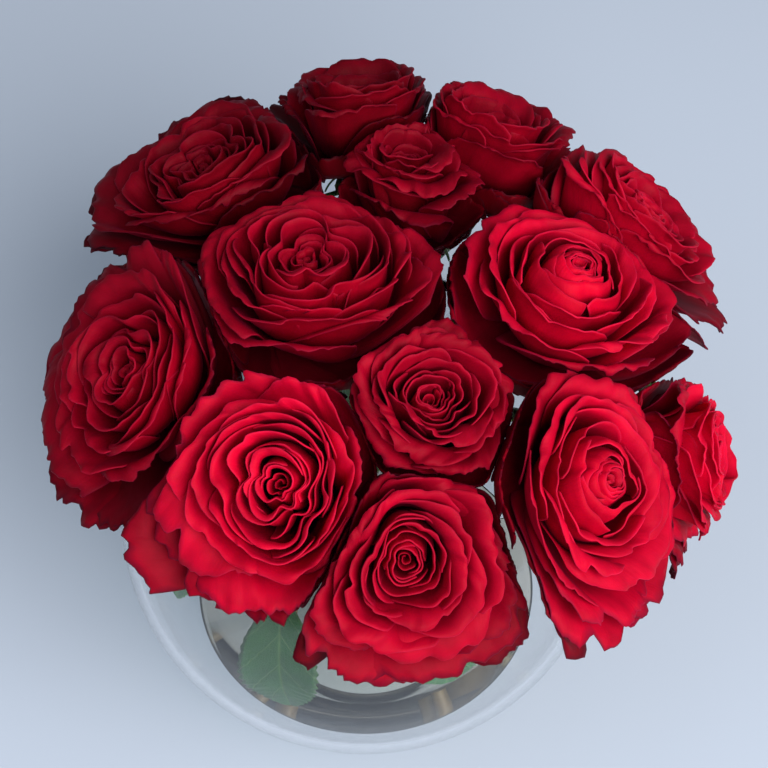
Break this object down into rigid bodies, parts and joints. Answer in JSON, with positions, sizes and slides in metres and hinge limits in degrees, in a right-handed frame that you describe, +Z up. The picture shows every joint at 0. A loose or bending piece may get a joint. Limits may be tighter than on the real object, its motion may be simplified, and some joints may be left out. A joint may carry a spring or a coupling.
{
  "type": "vase of roses",
  "caption": "Dense dome of cut red garden roses with layered petals, on thorny leafy stems that stand in water in a round clear glass bowl vase.",
  "frame": {"origin": "centre of the vase's flat base, on the surface that it stands on", "axes": "+Z up along the vase's axis, +X to the viewer's right and -Y towards the viewer of the picture"},
  "size_m": [0.2769, 0.2818, 0.252],
  "materials": {
    "glass": "blown clear glass, fire-polished and smooth",
    "water": "clear still water",
    "stem": "fresh green cane, sepals and leaves, satin",
    "petal": "velvety deep red petal"
  },
  "bodies": {
    "root": {"vase": "glass", "water": "water", "stem_01": "stem", "bloom_01": "petal", "stem_02": "stem", "bloom_02": "petal", "stem_03": "stem", "bloom_03": "petal", "stem_04": "stem", "bloom_04": "petal", "stem_05": "stem", "bloom_05": "petal", "stem_06": "stem", "bloom_06": "petal", "stem_07": "stem", "bloom_07": "petal", "stem_08": "stem", "bloom_08": "petal", "stem_09": "stem", "bloom_09": "petal", "stem_10": "stem", "bloom_10": "petal", "stem_11": "stem", "bloom_11": "petal", "stem_12": "stem", "bloom_12": "petal", "stem_13": "stem", "bloom_13": "petal"}
  },
  "joints": []
}
